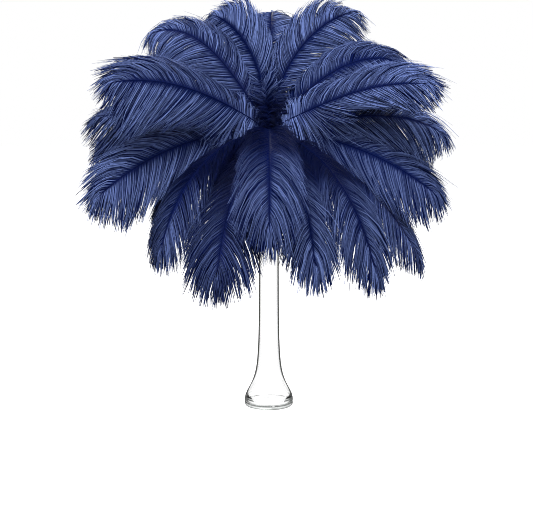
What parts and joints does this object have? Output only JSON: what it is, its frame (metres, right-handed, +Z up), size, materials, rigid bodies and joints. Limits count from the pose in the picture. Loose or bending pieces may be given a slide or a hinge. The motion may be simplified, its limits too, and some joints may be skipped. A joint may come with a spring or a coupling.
{
  "type": "ostrich feather",
  "caption": "Table centrepiece: a dense ball of dyed ostrich plumes that rise from a tall slim glass vase with a trumpet foot, fan out and hang over its mouth.",
  "frame": {"origin": "middle of the vase's flat foot, on the surface that it rests on", "axes": "+Z up along the vase, -Y towards the viewer of the picture, +X to the viewer's right"},
  "size_m": [0.6631, 0.6267, 0.7389],
  "materials": {
    "dyed_plume": "navy-dyed feather barbs, soft and matt with a faint sheen along each barb",
    "clear_glass": "clear blown soda-lime glass, polished"
  },
  "bodies": {
    "root": {"plume_crown_back": "dyed_plume", "plume_crown_left": "dyed_plume", "plume_crown_right": "dyed_plume", "plume_hanging_back_left": "dyed_plume", "plume_hanging_back_near_left": "dyed_plume", "plume_hanging_back_near_right": "dyed_plume", "plume_hanging_back_right": "dyed_plume", "plume_hanging_far_right": "dyed_plume", "plume_hanging_front": "dyed_plume", "plume_hanging_front_left": "dyed_plume", "plume_hanging_front_right": "dyed_plume", "plume_hanging_left": "dyed_plume", "plume_hanging_right": "dyed_plume", "plume_lower_back_left": "dyed_plume", "plume_lower_back_near_left": "dyed_plume", "plume_lower_back_near_right": "dyed_plume", "plume_lower_back_right": "dyed_plume", "plume_lower_front_left": "dyed_plume", "plume_lower_left": "dyed_plume", "plume_lower_right": "dyed_plume", "plume_middle_back_left": "dyed_plume", "plume_middle_back_right": "dyed_plume", "plume_middle_far_left": "dyed_plume", "plume_middle_far_right": "dyed_plume", "plume_middle_left": "dyed_plume", "plume_middle_right": "dyed_plume", "plume_upper_back_left": "dyed_plume", "plume_upper_back_right": "dyed_plume", "plume_upper_left": "dyed_plume", "plume_upper_right": "dyed_plume", "vase": "clear_glass"}
  },
  "joints": []
}
